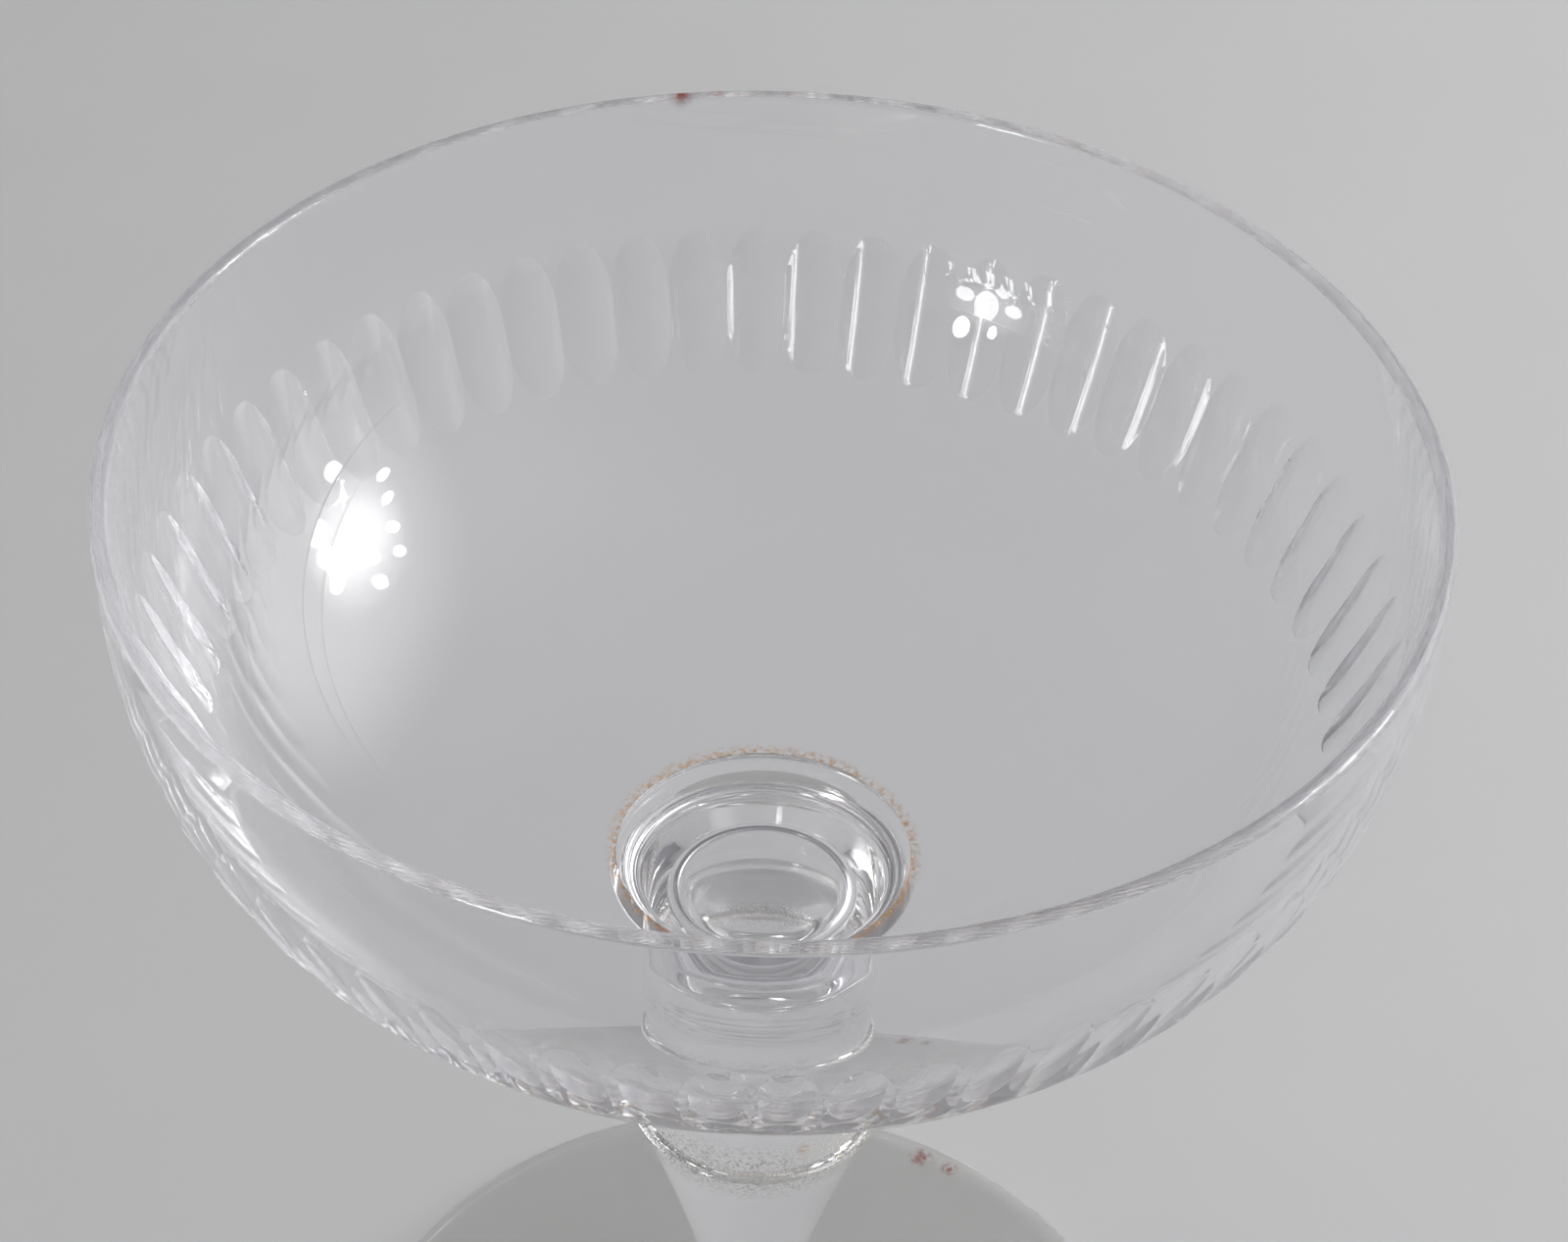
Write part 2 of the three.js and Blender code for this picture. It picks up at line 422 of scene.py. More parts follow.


# %% [markdown]
# ## The crystal of each gather
# The foot, collar and bowl have the slow ripple of a surface that the flame left. The
# shank and knop were drawn out while soft, so their ripple is stretched into upright
# cords. The bubble was never touched or dusted, so its crystal has no film. Where one
# hot gather was set on another, the two are one body of glass and no light turns back,
# so the seat between them lets light straight through.

# %% Make the crystals and the fused seat
# The foot's crystal is a little greyer than the rest: partly the pressed glass's own tint, partly
# painted shade that stands in for the darker floor seen through the foot.
pressed_crystal = make_crystal(
    "lead_crystal_pressed", (14 * MM,) * 3, 0.02 * MM, 0.6,
    [(MARK_TONE, spot_share((15.5 * MM, 29.3 * MM, 2 * MM), 1.5 * MM, 0.9)),
     (MARK_TONE, spot_share((18.1 * MM, 28.0 * MM, 2 * MM), 1.1 * MM, 0.9))], tone="#f0f0ee")
grime = (GRIME_TONE, ring_share(9.9 * MM, knop_base, 4.5 * MM, 0.28 * MM, 0.42, 0.8))
orange_spot = (CREVICE_TONE, spot_share((3.9 * MM, -8.9 * MM, 44.6 * MM), 0.8 * MM, 0.6))
drawn_crystal = make_crystal(
    "lead_crystal_drawn", (3 * MM, 3 * MM, 60 * MM), 0.01 * MM, 0.6, [grime, orange_spot])
crevice = (CREVICE_TONE, ring_share(CREVICE_RADIUS, bowl_base, 1.0 * MM, 0.5 * MM, 0.34, 0.8))
sheared_crystal = make_crystal(
    "lead_crystal_sheared", (12 * MM,) * 3, 0.02 * MM, 0.6, [crevice])
blown_crystal = make_crystal(
    "lead_crystal_blown_fire_polished", (16 * MM,) * 3, 0.02 * MM, 1.0,
    [crevice,
     (CREVICE_TONE, spot_share((-7.6 * MM, -6.5 * MM, bowl_base), 0.8 * MM, 0.5)),
     (CREVICE_TONE, spot_share((10.0 * MM, -2.4 * MM, bowl_base), 0.9 * MM, 0.5)),
     (MARK_TONE, spot_share((-8.5 * MM, 47.6 * MM, bowl_top), 1.3 * MM, 0.9)),
     (MARK_TONE, spot_share((-5.6 * MM, 48.2 * MM, bowl_top), 0.8 * MM, 0.9)),
     (MARK_TONE, spot_share((-3.9 * MM, 48.1 * MM, bowl_top - 1 * MM), 0.5 * MM, 0.9))])
bubble_crystal = make_crystal("lead_crystal_round_the_bubble", (12 * MM,) * 3, 0.01 * MM, 0.0)


def make_fused_seat():
    material, tree, output = new_material("lead_crystal_fused_seat")
    unbroken = add_node(tree, "ShaderNodeBsdfTransparent")
    tree.links.new(unbroken.outputs["BSDF"], output.inputs["Surface"])
    return material


fused_seat = make_fused_seat()
print("materials:", [material.name for material in bpy.data.materials])

# %% [markdown]
# ## The foot
# A gather of glass is pressed out flat with a wooden paddle while it spins, which leaves
# a disc with a rounded edge that rises in a flare to a small boss. The table touches it
# only in a ring, round a shallow hollow.

# %% Turn the foot
FOOT_EDGE_THICKNESS = 2.2 * MM
FOOT_BOSS_RADIUS = 5.1 * MM
FOOT_FULLNESS = 3
FOOT_REST_WIDTH = 6 * MM
FOOT_HOLLOW_DEPTH = 1 * MM
FOOT_HOLLOW_FULLNESS = 1.1
TURNED_FACETS = 240
CRISP_ANGLE = math.radians(30)


def foot_outline():
    edge_round = FOOT_EDGE_THICKNESS / 2
    rim_radius = foot_radius - edge_round
    rest_inside = rim_radius - FOOT_REST_WIDTH
    flare_width = FOOT_BOSS_RADIUS - rim_radius
    flare_height = FOOT_EDGE_THICKNESS - foot_top
    return [
        (0, foot_base + FOOT_HOLLOW_DEPTH),
        *sweep((0, foot_base), rest_inside, FOOT_HOLLOW_DEPTH, FOOT_HOLLOW_FULLNESS, 1, 0, 16),
        *round_corner((rim_radius, foot_base + edge_round), edge_round, -1, 1, 20),
        *sweep((rim_radius, foot_top), flare_width, flare_height, FOOT_FULLNESS, 1, 0, 40),
        (0, foot_top),
    ]


foot_mesh = turn_on_axis(foot_outline(), TURNED_FACETS)
mark_seat(foot_mesh, foot_top)
smooth_but_crisp(foot_mesh, CRISP_ANGLE)
foot = finish_piece("foot_pressed", foot_mesh, "foot", [pressed_crystal, fused_seat])

# %% [markdown]
# ## The shank
# The shank is drawn down from the knop as an inverted cone with a rounded shoulder, is
# narrowest a little above the foot, and spreads out again where it was set on it. The
# knop covers only the middle of its flat top, so its outline has one more corner there:
# inside it the faces are a seat, and the ring outside it is a real surface.

# %% Turn the shank
SHANK_WAIST_RADIUS = 4.3 * MM
SHANK_SHOULDER_ROUND = 0.7 * MM
SHANK_TAPER_DEPTH = 19.5 * MM
SHANK_FULLNESS = 1.1
KNOP_FOOT_ROUND = 0.5 * MM
knop_seat_radius = knop_radius - KNOP_FOOT_ROUND


def shank_outline():
    shoulder_level = shank_top - SHANK_SHOULDER_ROUND
    waist_level = shoulder_level - SHANK_TAPER_DEPTH
    ankle_drop = shank_base - waist_level
    ankle_width = SHANK_WAIST_RADIUS - FOOT_BOSS_RADIUS
    taper_width = SHANK_WAIST_RADIUS - shank_radius
    shoulder_radius = shank_radius - SHANK_SHOULDER_ROUND
    return [
        (0, shank_base),
        *sweep((FOOT_BOSS_RADIUS, waist_level), ankle_width, ankle_drop, SHANK_FULLNESS, 1, 0, 24),
        *sweep(
            (shank_radius, waist_level), taper_width, SHANK_TAPER_DEPTH, SHANK_FULLNESS, 0, 1, 32),
        *round_corner((shoulder_radius, shoulder_level), SHANK_SHOULDER_ROUND, 0, 1, 8),
        (knop_seat_radius, shank_top),
        (0, shank_top),
    ]


shank_mesh = turn_on_axis(shank_outline(), TURNED_FACETS)
mark_seat(shank_mesh, shank_base)
mark_seat(shank_mesh, shank_top, outer=knop_seat_radius)
smooth_but_crisp(shank_mesh, CRISP_ANGLE)
shank = finish_piece("shank_drawn", shank_mesh, "shank", [drawn_crystal, fused_seat])

# %% [markdown]
# ## The knop and its bubble
# The maker presses a hollow into the top of the hot knop and sets the collar over it.
# The trapped air swells in the heat into a bubble with a flat roof, a rounded shoulder
# and a full round bottom. In the mesh it is a pocket in the knop's top, which the
# collar's underside closes, so the ring round its mouth is the only seat up there.

# %% Turn the knop
BUBBLE_RADIUS = 7.8 * MM
BUBBLE_MOUTH_RADIUS = 6.0 * MM
BUBBLE_SHOULDER_DEPTH = 2.0 * MM
BUBBLE_WALL_DEPTH = 3.8 * MM
BUBBLE_DEPTH = 7.6 * MM
UNTOUCHED = 2


def knop_outline():
    shoulder_level = knop_top - BUBBLE_SHOULDER_DEPTH
    wall_level = knop_top - BUBBLE_WALL_DEPTH
    bottom_depth = BUBBLE_DEPTH - BUBBLE_WALL_DEPTH
    shoulder_width = BUBBLE_RADIUS - BUBBLE_MOUTH_RADIUS
    foot_centre = (knop_seat_radius, knop_base + KNOP_FOOT_ROUND)
    return [
        (0, knop_base),
        *round_corner(foot_centre, KNOP_FOOT_ROUND, -1, 0, 6),
        (knop_radius, knop_top),
        *sweep(
            (BUBBLE_MOUTH_RADIUS, shoulder_level), shoulder_width, BUBBLE_SHOULDER_DEPTH,
            2, 1, 0, 16),
        *sweep((0, wall_level), BUBBLE_RADIUS, -bottom_depth, 2, 0, 1, 32),
    ]


knop_mesh = turn_on_axis(knop_outline(), TURNED_FACETS)
mark_seat(knop_mesh, knop_base)
mark_seat(knop_mesh, knop_top, inner=BUBBLE_MOUTH_RADIUS)
for face in knop_mesh.faces:
    middle = face.calc_center_median()
    in_pocket = knop_top - BUBBLE_DEPTH - MM / 10 < middle.z < knop_top
    if in_pocket and math.hypot(middle.x, middle.y) < BUBBLE_RADIUS + MM / 10:
        face.material_index = UNTOUCHED
smooth_but_crisp(knop_mesh, CRISP_ANGLE)
knop = finish_piece(
    "knop_with_bubble", knop_mesh, "knop", [drawn_crystal, fused_seat, bubble_crystal])

# %% [markdown]
# ## The collar
# A last small gather between knop and bowl, trimmed with shears to a disc with a crisp
# edge, and hollow underneath, where it was drawn in to the knop. Its edge is softened
# with bmesh.ops.bevel on the ring of edges at its widest level, as the flame did.

# %% Turn the collar
COLLAR_SEAT_RADIUS = 11.6 * MM
COLLAR_EDGE_DROP = 1.8 * MM
COLLAR_EDGE_SOFTNESS = 0.18 * MM


def collar_outline():
    edge_level = collar_top - COLLAR_EDGE_DROP
    flare_width = knop_radius - collar_radius
    return [
        (0, collar_base),
        (BUBBLE_MOUTH_RADIUS, collar_base),
        *sweep((collar_radius, collar_base), flare_width, edge_level - collar_base, 2, 0, 1, 32),
        (COLLAR_SEAT_RADIUS, collar_top),
        (0, collar_top),
    ]


def rings_at(mesh, radius):
    """The edges that run round the axis at a radius."""
    return [edge for edge in mesh.edges
            if all(abs(math.hypot(*vert.co.xy) - radius) < WELD for vert in edge.verts)]


collar_mesh = turn_on_axis(collar_outline(), TURNED_FACETS)
bmesh.ops.bevel(
    collar_mesh, geom=rings_at(collar_mesh, collar_radius), offset=COLLAR_EDGE_SOFTNESS,
    affect="EDGES", segments=4, profile=0.5, material=-1)
mark_seat(collar_mesh, collar_base, inner=BUBBLE_MOUTH_RADIUS)
mark_seat(collar_mesh, collar_top)
smooth_but_crisp(collar_mesh, CRISP_ANGLE)
collar = finish_piece("collar_sheared", collar_mesh, "collar", [sheared_crystal, fused_seat])

# %% [markdown]
# ## The wheel-cut finish
# A cut is ground with a stone wheel and then polished with a cork or felt one, so it is
# as clear as the rest, but the polish leaves faint lines along the stroke, a few tenths
# of a millimetre apart, and it holds more of the film than the wall does. To the eye a
# cut that faces a lamp is a soft white streak, and one that doesn't is clear.

# %% Make the wheel-cut crystal
CUT = 2
wheel_cut = make_crystal(
    "lead_crystal_wheel_cut_polished", (0.5 * MM, 0.5 * MM, 12 * MM), 0.0004 * MM, 1.0,
    [(FILM_TONE, haze_share(3 * MM, 0.05, 0.08))])

# %% [markdown]
# ## The bowl and its olive cuts
# The bowl is blown, with a thin wall, a thicker bottom and a rim rounded by the flame.
# The cutter divides it into sixty and leans it on the wheel once at each mark. The lesson
# does the same: it makes one sixtieth of the bowl as a wedge, takes one stroke of a wheel
# with a round edge out of it with a Boolean modifier, and then repeats the wedge round
# the axis with bmesh.ops.spin and use_duplicate. Displacing a finished bowl would be
# quicker, but it would blur the thin ridges between the cuts, which are what sparkles.

# %% Outline the bowl
BOWL_DEPTH = 39.3 * MM
BOWL_WALL = 1.3 * MM
BOWL_BOTTOM = 2.5 * MM
BOWL_FULLNESS = 2.4
lip_round = BOWL_WALL / 2
rim_level = bowl_top - lip_round
seat_sweep = math.acos((COLLAR_SEAT_RADIUS / bowl_radius) ** (BOWL_FULLNESS / 2)) / QUARTER_TURN


def bowl_outline():
    inside_radius = bowl_radius - BOWL_WALL
    inside_depth = BOWL_DEPTH - BOWL_BOTTOM
    return [
        (0, bowl_base),
        (COLLAR_SEAT_RADIUS, bowl_base),
        *sweep((0, rim_level), bowl_radius, -BOWL_DEPTH, BOWL_FULLNESS, seat_sweep, 0, 64)[1:],
        *round_corner((bowl_radius - lip_round, rim_level), lip_round, 0, 2, 12)[1:],
        *sweep((0, rim_level), inside_radius, -inside_depth, BOWL_FULLNESS, 0, 1, 44)[1:],
    ]


print("rim level, mm:", round(rim_level / MM, 2), "outline corners:", len(bowl_outline()))

# %% Make one wedge of the bowl
OLIVE_COUNT = 60
OLIVE_START_SHARE = 0.43
WEDGE_FACETS = 8
wedge_turn = FULL_TURN / OLIVE_COUNT


def bowl_wedge():
    """One sixtieth of the bowl as a closed wedge, to either side of the XZ plane."""
    mesh = draw_outline(bowl_outline())
    mesh.verts.ensure_lookup_table()
    mesh.faces.new(mesh.verts[:])
    to_one_side = Matrix.Rotation(-wedge_turn / 2, 3, "Z")
    bmesh.ops.rotate(mesh, cent=(0, 0, 0), matrix=to_one_side, verts=mesh.verts[:])
    bmesh.ops.spin(
        mesh, geom=mesh.verts[:] + mesh.edges[:] + mesh.faces[:], cent=(0, 0, 0), axis=(0, 0, 1),
        angle=wedge_turn, steps=WEDGE_FACETS, use_merge=False, use_duplicate=False)
    bmesh.ops.remove_doubles(mesh, verts=mesh.verts[:], dist=APART)
    bmesh.ops.recalc_face_normals(mesh, faces=mesh.faces[:])
    return mesh


wedge_mesh = bowl_wedge()
report("wedge", wedge_mesh)

# %% [markdown]
# ## One stroke of the wheel
# The cutter rocks the wall over the wheel, so that the cut follows the wall's curve and
# is deepest in the middle. Its long top and short bottom come from that rocking. The
# wheel's round edge sweeps out a shape like a sausage, so the tool is a ball, drawn out
# to the length of the stroke and then bent to the wheel's path.

# %% Make one stroke of the wheel
OLIVE_ENTRY_DROP = 13.8 * MM
OLIVE_EXIT_DROP = 21.9 * MM
OLIVE_END_DEPTH = 0.19 * MM
OLIVE_MIDDLE_DEPTH = 0.38 * MM
WHEEL_EDGE_RADIUS = 10.9 * MM
WHEEL_SEGMENTS = 180
STROKE_STEPS = 24


def wheel_place(share):
    """Where the wheel's round edge has its centre, this share of the way down the cut."""
    drop = OLIVE_ENTRY_DROP + (OLIVE_EXIT_DROP - OLIVE_ENTRY_DROP) * share
    rocking = (2 * share - 1) ** 2
    depth = OLIVE_MIDDLE_DEPTH + (OLIVE_END_DEPTH - OLIVE_MIDDLE_DEPTH) * rocking
    across = (1 - (drop / BOWL_DEPTH) ** BOWL_FULLNESS) ** (1 / BOWL_FULLNESS)
    outward = Vector((
        across ** (BOWL_FULLNESS - 1) / bowl_radius, 0,
        -(drop / BOWL_DEPTH) ** (BOWL_FULLNESS - 1) / BOWL_DEPTH)).normalized()
    on_wall = Vector((bowl_radius * across, 0, rim_level - drop))
    return on_wall + outward * (WHEEL_EDGE_RADIUS - depth)


def wheel_stroke():
    """A ball drawn out and bent along the wheel's path."""
    upper = wheel_place(0)
    lower = wheel_place(1)
    along = upper - lower
    mesh = bmesh.new()
    bmesh.ops.create_uvsphere(
        mesh, u_segments=WHEEL_SEGMENTS, v_segments=WHEEL_SEGMENTS // 2, radius=WHEEL_EDGE_RADIUS)
    upper_half = [vert for vert in mesh.verts if vert.co.z > WELD]
    bmesh.ops.translate(mesh, verts=upper_half, vec=(0, 0, along.length))
    drawn_out = [
        edge for edge in mesh.edges
        if abs(edge.verts[0].co.z - edge.verts[1].co.z) > along.length / 2]
    bmesh.ops.subdivide_edges(mesh, edges=drawn_out, cuts=STROKE_STEPS, use_grid_fill=True)
    leaning = Matrix.Rotation(math.atan2(along.x, along.z), 3, "Y")
    bmesh.ops.rotate(mesh, cent=(0, 0, 0), matrix=leaning, verts=mesh.verts[:])
    for vert in mesh.verts:
        share = 1 - min(1.0, max(0.0, vert.co.dot(along) / along.length_squared))
        vert.co += wheel_place(share) - along * (1 - share)
    for face in mesh.faces:
        face.material_index = CUT
    return mesh


stroke_mesh = wheel_stroke()
report("stroke", stroke_mesh)

# %% Take the stroke out of the wedge
def as_object(name, mesh, finishes):
    data = bpy.data.meshes.new(name)
    mesh.to_mesh(data)
    mesh.free()
    for finish in finishes:
        data.materials.append(finish)
    thing = bpy.data.objects.new(name, data)
    bpy.context.scene.collection.objects.link(thing)
    return thing


def subtract(body, tool):
    """The body less the tool, as a bmesh; both objects are used up."""
    cut = body.modifiers.new("cut", "BOOLEAN")
    cut.operation = "DIFFERENCE"
    cut.solver = "EXACT"
    cut.object = tool
    bpy.context.view_layer.update()
    evaluated = body.evaluated_get(bpy.context.evaluated_depsgraph_get())
    mesh = bmesh.new()
    mesh.from_mesh(evaluated.to_mesh())
    evaluated.to_mesh_clear()
    for thing in (body, tool):
        data = thing.data
        bpy.data.objects.remove(thing)
        bpy.data.meshes.remove(data)
    return mesh


bowl_finishes = [blown_crystal, fused_seat, wheel_cut]
bowl_mesh = subtract(
    as_object("wedge", wedge_mesh, bowl_finishes), as_object("stroke", stroke_mesh, bowl_finishes))
report("cut wedge", bowl_mesh)

# %% Repeat the wedge round the bowl
SIDE_SLACK = 1e-5
SIDE_LEAN = 1e-3
JOINING = WELD * 2


def on_side(face):
    """Whether a face lies in one of the two planes half a wedge to either side."""
    corners = [
        abs(math.atan2(vert.co.y, vert.co.x)) for vert in face.verts if vert.co.xy.length > WELD]
    if not corners or min(corners) < wedge_turn / 2 - SIDE_SLACK or abs(face.normal.z) > SIDE_LEAN:
        return False
    middle = face.calc_center_median()
    return abs(face.normal.dot(Vector((-middle.y, middle.x, 0)).normalized())) > LYING_FLAT


def open_sides(mesh):
    """Deletes the wedge's two side faces, so that the wedges can join."""
    sides = [face for face in mesh.faces if on_side(face)]
    bmesh.ops.delete(mesh, geom=sides, context="FACES")
    return len(sides)


print("side faces:", open_sides(bowl_mesh))
many_sided = [face for face in bowl_mesh.faces if len(face.verts) > 4]
bmesh.ops.triangulate(bowl_mesh, faces=many_sided, quad_method="BEAUTY", ngon_method="BEAUTY")
bmesh.ops.spin(
    bowl_mesh, geom=bowl_mesh.verts[:] + bowl_mesh.edges[:] + bowl_mesh.faces[:], cent=(0, 0, 0),
    axis=(0, 0, 1), angle=FULL_TURN - wedge_turn, steps=OLIVE_COUNT - 1, use_duplicate=True)
bmesh.ops.remove_doubles(bowl_mesh, verts=bowl_mesh.verts[:], dist=JOINING)
to_first_cut = Matrix.Rotation(wedge_turn * OLIVE_START_SHARE, 3, "Z")
bmesh.ops.rotate(bowl_mesh, cent=(0, 0, 0), matrix=to_first_cut, verts=bowl_mesh.verts[:])
bmesh.ops.recalc_face_normals(bowl_mesh, faces=bowl_mesh.faces[:])

# %% [markdown]
# ## The ridges
# Polishing takes the keenness off each ridge, and the narrow round that it leaves
# catches the lamps as a thin bright line. Only edges at a cut that turn by more than a
# few degrees are ridges, so only those are bevelled. The Weighted Normal modifier then
# lets the large faces decide the shading, so a cut's outline stays as crisp as it is.

# %% Soften the ridges
RIDGE_ANGLE = math.radians(4)
RIDGE_SOFTNESS = 0.08 * MM
ridges = [
    edge for edge in bowl_mesh.edges
    if any(face.material_index == CUT for face in edge.link_faces)
    and edge.calc_face_angle(0) > RIDGE_ANGLE]
print("ridge edges:", len(ridges))
bmesh.ops.bevel(
    bowl_mesh, geom=ridges, offset=RIDGE_SOFTNESS, affect="EDGES", segments=2, profile=0.5,
    material=-1, clamp_overlap=True)
mark_seat(bowl_mesh, bowl_base)
smooth_but_crisp(bowl_mesh, CRISP_ANGLE)
bowl = finish_piece("bowl_blown_and_cut", bowl_mesh, "bowl", bowl_finishes)
even = bowl.modifiers.new("even shading", "WEIGHTED_NORMAL")
even.mode = "FACE_AREA"
even.keep_sharp = True

# %% [markdown]
# ## The table
# The photograph has a plain pale surface with no horizon, so a wide floor is enough. It
# is matt painted board, with a mottle so faint that it only keeps the tone from looking
# flat, and it lies a hair below the foot.

# %% Lay the floor
FLOOR_MOTTLE = 25 * MM
FLOOR_TONES = ("#a9a9aa", "#acacad")


def make_floor_paint():
    """Matt grey paint whose two tones change softly over a few centimetres."""
    material, tree, output = new_material("matt_painted_board")
    place = add_node(tree, "ShaderNodeTexCoord")
    mottle = add_node(
        tree, "ShaderNodeTexNoise", values={"Scale": 1 / FLOOR_MOTTLE, "Detail": 3.0},
        links={"Vector": place.outputs["Object"]})
    tone = add_node(
        tree, "ShaderNodeMix", settings={"data_type": "RGBA"},
        values={"A": linear(FLOOR_TONES[0]), "B": linear(FLOOR_TONES[1])},
        links={"Factor": mottle.outputs["Fac"]})
    paint = add_node(
        tree, "ShaderNodeBsdfPrincipled", values={"Roughness": 0.85, "Specular IOR Level": 0.2},
        links={"Base Color": tone.outputs["Result"]})
    tree.links.new(paint.outputs["BSDF"], output.inputs["Surface"])
    return material


FLOOR_HALF_WIDTH = 3.0
FLOOR_GAP = 0.2 * MM
floor_mesh = bmesh.new()
bmesh.ops.create_grid(floor_mesh, x_segments=1, y_segments=1, size=FLOOR_HALF_WIDTH)
bmesh.ops.translate(floor_mesh, verts=floor_mesh.verts[:], vec=(0, 0, -FLOOR_GAP))
floor = as_object("floor", floor_mesh, [make_floor_paint()])
print("floor width, m:", FLOOR_HALF_WIDTH * 2)

# %% [markdown]
# ## The room that the glass mirrors
# Clear glass has no look of its own: it shows its surroundings. Light Path gives the
# world three jobs. Light that has met a matt surface comes from an even pale sky, which
# fills the floor, also through the glass. The camera sees a plain backdrop beyond the
# floor. What the glass mirrors and bends comes from a greyer room, brighter towards the
# right, so that the rim and the cuts draw themselves dark against the floor. Soft glows
# lie round both lamps. One more is only met by light that was turned back in the wall
# several times, which is what makes the left-hand cuts white along one edge.

# %% Light the world
GLASS_MIDDLE = Vector((0, 0, 0.08))
RIGHT_LAMP_AT = Vector((1.05, 0.17, 0.59))
FRONT_LAMP_AT = Vector((-0.61, -0.79, 0.20))
ROOM_BRIGHT_SIDE = Vector((0.8, -0.1, 0.6)).normalized()
ROOM_TONES = [(0.0, "#707074"), (0.6, "#8c8c90"), (0.85, "#b4b4b8"), (1.0, "#e0e0e4")]
BACKDROP_TONE = "#8f8f8e"
SKY_TONE = "#f0f0f0"
SKY_STRENGTH_SHARES = (0.39, 0.52)
GLOWS = [  # towards, full within and gone at these degrees, strength
    (RIGHT_LAMP_AT - GLASS_MIDDLE, 2, 13, 4.5),
    (Vector((0.85, 0.28, 0.25)), 10, 38, 2.0),
    (FRONT_LAMP_AT - GLASS_MIDDLE, 2, 8, 2.5),
]
CUT_GLOW = (Vector((0.6, -0.08, 0.79)), 6, 21, 2.4)
CUT_GLOW_BOUNCES = 8
CUT_GLOW_SLACK = 1.5


def light_world():
    """The room, its glows, the pale sky and the backdrop, mixed by what the ray did."""
    world = bpy.data.worlds.new("studio")
    world.use_nodes = True
    bpy.context.scene.world = world
    tree = world.node_tree
    for node in list(tree.nodes):
        tree.nodes.remove(node)
    toward = add_node(tree, "ShaderNodeTexCoord").outputs["Generated"]
    path = add_node(tree, "ShaderNodeLightPath").outputs

    def nearness(direction):
        """The cosine of the angle between the ray and a direction."""
        return add_node(
            tree, "ShaderNodeVectorMath", settings={"operation": "DOT_PRODUCT"},
            values={1: direction.normalized()}, links={0: toward}).outputs["Value"]

    def shine(tone, strength):
        """A Background node of this tone, with its strength linked."""
        return add_node(
            tree, "ShaderNodeBackground", values={"Color": linear(tone)},
            links={"Strength": strength}).outputs[0]

    def glow_strength(direction, full_degrees, edge_degrees, strength):
        full = math.cos(math.radians(full_degrees))
        edge = math.cos(math.radians(edge_degrees))
        return remap(tree, nearness(direction), edge, full, 0.0, strength)

    def either(share, first, second):
        return add_node(
            tree, "ShaderNodeMixShader", links={0: share, 1: first, 2: second}).outputs[0]

    ramp = add_node(tree, "ShaderNodeValToRGB", links={"Fac": nearness(ROOM_BRIGHT_SIDE)})
    stops = ramp.color_ramp.elements
    while len(stops) < len(ROOM_TONES):
        stops.new(1.0)
    for stop, (position, tone) in zip(stops, ROOM_TONES):
        stop.position = position
        stop.color = linear(tone)
    room = add_node(tree, "ShaderNodeBackground", links={"Color": ramp.outputs["Color"]}).outputs[0]
    turned_back = measure(
        tree, "COMPARE", {0: path["Ray Depth"]}, {1: CUT_GLOW_BOUNCES, 2: CUT_GLOW_SLACK})
    strengths = [glow_strength(*glow) for glow in GLOWS]
    strengths.append(
        measure(tree, "MULTIPLY", {0: glow_strength(*CUT_GLOW), 1: turned_back}))
    for strength in strengths:
        glow = shine("#ffffff", strength)
        room = add_node(tree, "ShaderNodeAddShader", links={0: room, 1: glow}).outputs[0]
    sky = shine(SKY_TONE, remap(tree, nearness(RIGHT_LAMP_AT), -1.0, 1.0, *SKY_STRENGTH_SHARES))
    backdrop = add_node(tree, "ShaderNodeBackground", values={"Color": linear(BACKDROP_TONE)})
    after_matt = measure(tree, "GREATER_THAN", {0: path["Diffuse Depth"]}, {1: 0.5})
    lit = either(after_matt, room, sky)
    output = tree.nodes.new("ShaderNodeOutputWorld")
    tree.links.new(
        either(path["Is Camera Ray"], lit, backdrop.outputs[0]), output.inputs["Surface"])


light_world()
print("world:", bpy.context.scene.world.name, "glows:", len(GLOWS) + 1)

# %% [markdown]
# ## The lamps
# One square key lamp lights the floor from the right. It throws no shadow, because glass
# lets its light through. Each lamp that the glass mirrors is a cluster: a round light
# with six drawn-out ones round it, like the petals of a flower. They only show in the
# glass. A curved wall squeezes what it mirrors, so the low cluster is stretched upwards
# to look round again. The petals' places and sizes are drawn at random, from a fixed seed.

# %% Hang the lamps
KEY_WIDTH = 0.3
KEY_POWER = 20
PETALS = 6
PETAL_TURN_SLACK = 0.25
PETAL_PLACE_SHARES = (0.7, 1.15)
PETAL_WIDTH_SHARES = (0.3, 0.6)
PETAL_LENGTH_SHARES = (0.2, 1.2)
CLUSTER_RADIANCE = 20
chance = random.Random(7)


def add_lamp(name, place, shape, width, power):
    """An area lamp without shadow, aimed at the middle of the glass."""
    data = bpy.data.lights.new(name, "AREA")
    data.shape = shape
    data.size = width
    data.energy = power
    data.use_shadow = False
    lamp = bpy.data.objects.new(name, data)
    lamp.location = place
    lamp.rotation_euler = (GLASS_MIDDLE - Vector(place)).to_track_quat("-Z", "Y").to_euler()
    bpy.context.scene.collection.objects.link(lamp)
    return lamp


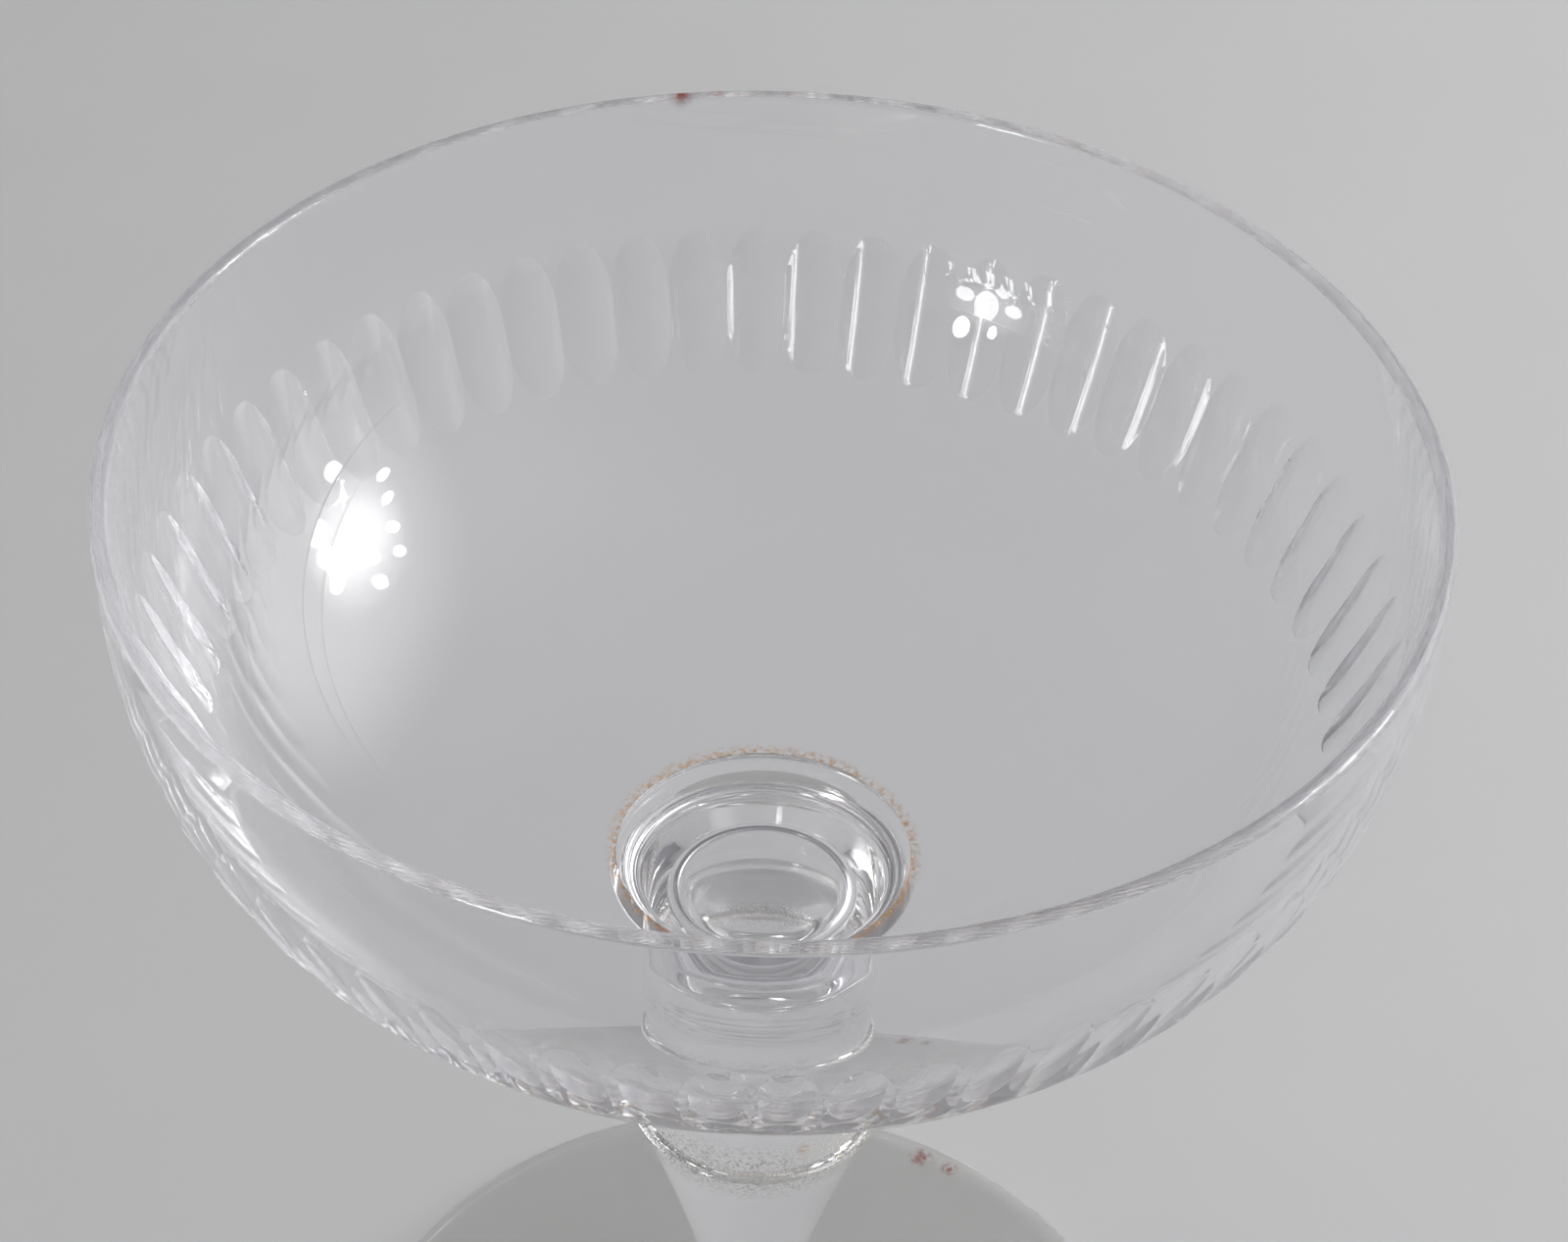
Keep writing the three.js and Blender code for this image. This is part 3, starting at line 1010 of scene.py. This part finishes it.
def add_cluster(name, place, ring, disc, stretch):
    """One round light with six drawn-out ones round it, which only the glass mirrors."""
    look = (GLASS_MIDDLE - place).normalized()
    side = look.cross(Vector((0, 0, 1))).normalized()
    rise = side.cross(look) * stretch
    spots = [(place, disc, disc)]
    for petal in range(PETALS):
        slack = chance.uniform(-PETAL_TURN_SLACK, PETAL_TURN_SLACK)
        turn = FULL_TURN * (petal + slack) / PETALS
        out = ring * chance.uniform(*PETAL_PLACE_SHARES)
        spot = place + out * (math.cos(turn) * side + math.sin(turn) * rise)
        short = disc * chance.uniform(*PETAL_WIDTH_SHARES)
        more = short * chance.uniform(*PETAL_LENGTH_SHARES)
        width = short + more * abs(math.cos(turn))
        height = short + more * abs(math.sin(turn))
        spots.append((spot, width, height))
    for number, (spot, width, height) in enumerate(spots):
        area = math.pi * width * height * stretch / 4
        lamp = add_lamp(
            f"{name}_{number}", spot, "ELLIPSE", width, CLUSTER_RADIANCE * math.pi * area)
        lamp.data.size_y = height * stretch
        lamp.visible_diffuse = False
        lamp.data.diffuse_factor = 0.0


key = add_lamp("key", RIGHT_LAMP_AT, "SQUARE", KEY_WIDTH, KEY_POWER)
key.visible_glossy = False
key.visible_transmission = False
add_cluster("cluster_right", RIGHT_LAMP_AT, ring=0.21, disc=0.14, stretch=1.1)
add_cluster("cluster_front", FRONT_LAMP_AT, ring=0.1, disc=0.08, stretch=2.2)
print("lamps:", len(bpy.data.lights))

# %% [markdown]
# ## Enough bounces for cut glass
# Light that enters the rim or a ridge is often turned back inside the wall dozens of
# times before it comes out. With few bounces those places go black, so the limits are
# raised. The view transform is Standard, so that a tone in the render is the tone that
# was picked.

# %% Set the bounces and the view
BOUNCES = 96
scene = bpy.context.scene
scene.view_settings.view_transform = "Standard"
scene.cycles.max_bounces = BOUNCES
scene.cycles.glossy_bounces = BOUNCES
scene.cycles.transmission_bounces = BOUNCES
scene.cycles.transparent_max_bounces = BOUNCES
print("bounces:", scene.cycles.max_bounces)
